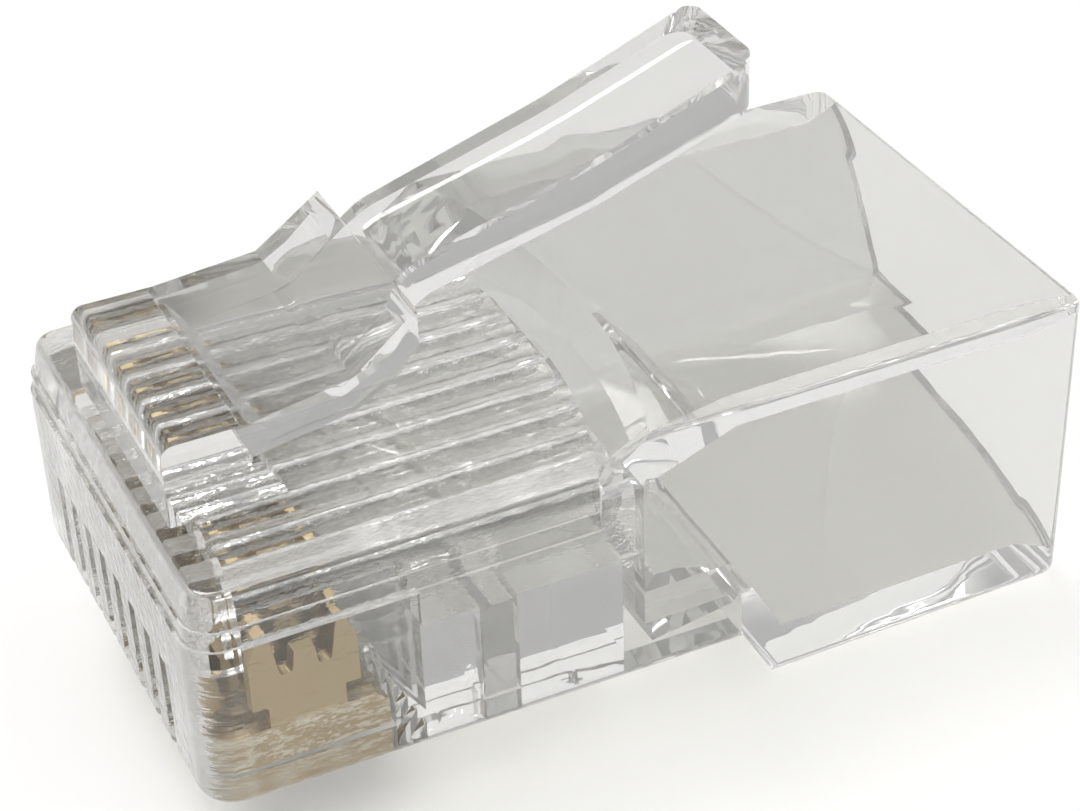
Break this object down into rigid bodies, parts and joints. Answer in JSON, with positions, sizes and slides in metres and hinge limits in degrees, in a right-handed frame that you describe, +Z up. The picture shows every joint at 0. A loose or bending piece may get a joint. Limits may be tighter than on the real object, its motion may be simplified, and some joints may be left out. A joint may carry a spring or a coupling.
{
  "type": "modular plug",
  "caption": "Clear modular plug for round or flat data cable: stepped body with flared cable mouth, sprung latch with raised handle, and pronged gold contacts in a comb nose.",
  "frame": {"origin": "middle of the plug's length and width, at the height of the rear section's underside", "axes": "+X from the mating nose towards the cable end, +Z up through the latch, contacts face -Z, contact_1 lies at +Y"},
  "size_m": [0.0216, 0.0116, 0.0138],
  "materials": {
    "clear": "clear polished polycarbonate",
    "gold": "gold plated, bright"
  },
  "bodies": {
    "housing": {"housing": "clear"},
    "latch": {"latch": "clear"},
    "conductor_bar": {"conductor_bar": "clear"},
    "jacket_anchor": {"jacket_anchor": "clear"},
    "contact_1": {"contact_1": "gold"},
    "contact_2": {"contact_2": "gold"},
    "contact_3": {"contact_3": "gold"},
    "contact_4": {"contact_4": "gold"},
    "contact_5": {"contact_5": "gold"},
    "contact_6": {"contact_6": "gold"},
    "contact_7": {"contact_7": "gold"},
    "contact_8": {"contact_8": "gold"}
  },
  "joints": [
    {"name": "latch_press", "type": "hinge", "parent": "housing", "child": "latch", "pos_m": [-0.0082, 0, 0.00873], "axis": [0, 1, 0], "range_deg": [0, 18], "stiffness_Nm_per_rad": 0.12, "springref_deg": -2.86},
    {"name": "conductor_bar_press", "type": "slide", "parent": "housing", "child": "conductor_bar", "axis": [0, 0, 1], "range_m": [0, 0.001]},
    {"name": "jacket_anchor_press", "type": "hinge", "parent": "housing", "child": "jacket_anchor", "pos_m": [0.00208, 0, 0.00206], "axis": [0, 1, 0], "range_deg": [0, 30]},
    {"name": "contact_1_press", "type": "slide", "parent": "housing", "child": "contact_1", "axis": [0, 0, 1], "range_m": [0, 0.0005]},
    {"name": "contact_2_press", "type": "slide", "parent": "housing", "child": "contact_2", "axis": [0, 0, 1], "range_m": [0, 0.0005]},
    {"name": "contact_3_press", "type": "slide", "parent": "housing", "child": "contact_3", "axis": [0, 0, 1], "range_m": [0, 0.0005]},
    {"name": "contact_4_press", "type": "slide", "parent": "housing", "child": "contact_4", "axis": [0, 0, 1], "range_m": [0, 0.0005]},
    {"name": "contact_5_press", "type": "slide", "parent": "housing", "child": "contact_5", "axis": [0, 0, 1], "range_m": [0, 0.0005]},
    {"name": "contact_6_press", "type": "slide", "parent": "housing", "child": "contact_6", "axis": [0, 0, 1], "range_m": [0, 0.0005]},
    {"name": "contact_7_press", "type": "slide", "parent": "housing", "child": "contact_7", "axis": [0, 0, 1], "range_m": [0, 0.0005]},
    {"name": "contact_8_press", "type": "slide", "parent": "housing", "child": "contact_8", "axis": [0, 0, 1], "range_m": [0, 0.0005]}
  ],
  "couplings": [
    {"joint": "contact_2_press", "follows": "contact_1_press", "ratio": 1},
    {"joint": "contact_3_press", "follows": "contact_1_press", "ratio": 1},
    {"joint": "contact_4_press", "follows": "contact_1_press", "ratio": 1},
    {"joint": "contact_5_press", "follows": "contact_1_press", "ratio": 1},
    {"joint": "contact_6_press", "follows": "contact_1_press", "ratio": 1},
    {"joint": "contact_7_press", "follows": "contact_1_press", "ratio": 1},
    {"joint": "contact_8_press", "follows": "contact_1_press", "ratio": 1}
  ]
}
